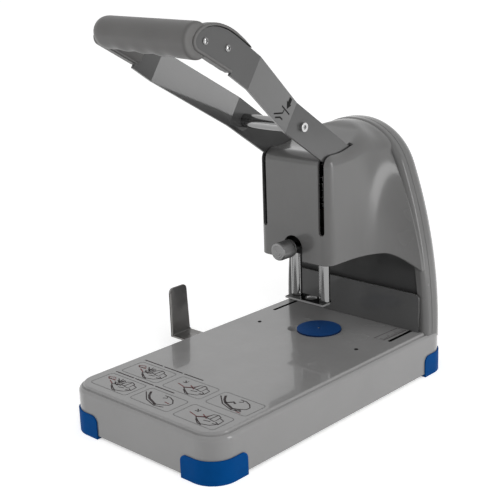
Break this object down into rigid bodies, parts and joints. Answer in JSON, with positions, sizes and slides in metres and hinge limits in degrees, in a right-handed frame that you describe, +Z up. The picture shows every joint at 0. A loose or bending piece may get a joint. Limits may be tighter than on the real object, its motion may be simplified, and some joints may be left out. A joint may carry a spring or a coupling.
{
  "type": "paper drill",
  "caption": "Heavy-duty desk paper drill: a raised two-armed lever drives a ram with a hollow drill and a presser down onto a cutting disc in the base.",
  "frame": {"origin": "centre of the base's outline, on the plane of the feet's undersides", "axes": "+X to the machine's right, +Y towards its back, +Z up"},
  "size_m": [0.2295, 0.364, 0.3962],
  "materials": {
    "paint": "gloss grey enamel",
    "dark_paint": "satin dark grey enamel",
    "grip_plastic": "matte warm grey, softly grained",
    "foot_plastic": "satin blue moulding",
    "disc_plastic": "matte dark blue",
    "bright_steel": "ground steel",
    "chrome": "polished plating",
    "black_steel": "satin black",
    "bronze": "sintered bearing bronze"
  },
  "bodies": {
    "frame": {"base_shell": "paint", "bottom_plate": "black_steel", "corner_feet": "foot_plastic", "bottom_screws": "chrome", "disc_seat": "black_steel", "disc_hub": "bright_steel", "guide_track": "black_steel", "hood_shell": "paint", "rear_cover": "paint", "cover_screws": "chrome", "inner_panel": "black_steel", "left_cheek": "black_steel", "right_cheek": "black_steel", "guide_plate": "black_steel", "column_bushes": "bronze", "tie_bars": "bright_steel", "frame_screws": "chrome", "return_springs": "bright_steel"},
    "lever": {"left_arm": "dark_paint", "right_arm": "dark_paint", "cross_tube": "chrome", "tube_bolts": "chrome", "handle_grip": "grip_plastic", "grip_screws": "chrome", "lever_shaft": "bright_steel", "shaft_clips": "black_steel", "drive_studs": "bright_steel"},
    "ram": {"ram_block": "black_steel", "ram_yokes": "black_steel", "yoke_screws": "chrome", "drill_holder": "bright_steel"},
    "drill": {"hollow_drill": "bright_steel"},
    "knob": {"clamp_knob": "bright_steel"},
    "presser": {"presser_plate": "black_steel", "presser_columns": "chrome", "column_collars": "black_steel", "column_springs": "bright_steel"},
    "disc": {"cutting_disc": "disc_plastic"},
    "gauge": {"back_gauge": "dark_paint", "gauge_runners": "bright_steel"},
    "guide": {"side_guide": "bright_steel"}
  },
  "joints": [
    {"name": "lever_hinge", "type": "hinge", "parent": "frame", "child": "lever", "pos_m": [0, 0.128, 0.2085], "axis": [1, 0, 0], "range_deg": [0, 49], "stiffness_Nm_per_rad": 2.5, "springref_deg": -57.3},
    {"name": "ram_slide", "type": "slide", "parent": "frame", "child": "ram", "axis": [0, 0, 1], "range_m": [-0.0614, 0]},
    {"name": "presser_slide", "type": "slide", "parent": "frame", "child": "presser", "axis": [0, 0, 1], "range_m": [-0.0358, 0], "deforming": ["column_springs"]},
    {"name": "drill_slide", "type": "slide", "parent": "ram", "child": "drill", "axis": [0, 0, 1], "range_m": [-0.0162, 0]},
    {"name": "knob_turn", "type": "hinge", "parent": "ram", "child": "knob", "pos_m": [0, 0.0195, 0.151], "axis": [0, 1, 0], "range_deg": [0, 360]},
    {"name": "disc_turn", "type": "hinge", "parent": "frame", "child": "disc", "pos_m": [0, 0.0835, 0.05], "axis": [0, 0, 1], "continuous": true},
    {"name": "gauge_slide", "type": "slide", "parent": "frame", "child": "gauge", "axis": [0, 1, 0], "range_m": [-0.03, 0]},
    {"name": "guide_slide", "type": "slide", "parent": "frame", "child": "guide", "axis": [1, 0, 0], "range_m": [-0.05, 0.024]}
  ],
  "couplings": [
    {"joint": "ram_slide", "follows": "lever_hinge", "m_per_rad": -0.07179},
    {"joint": "presser_slide", "follows": "lever_hinge", "m_per_rad": -0.0418}
  ]
}
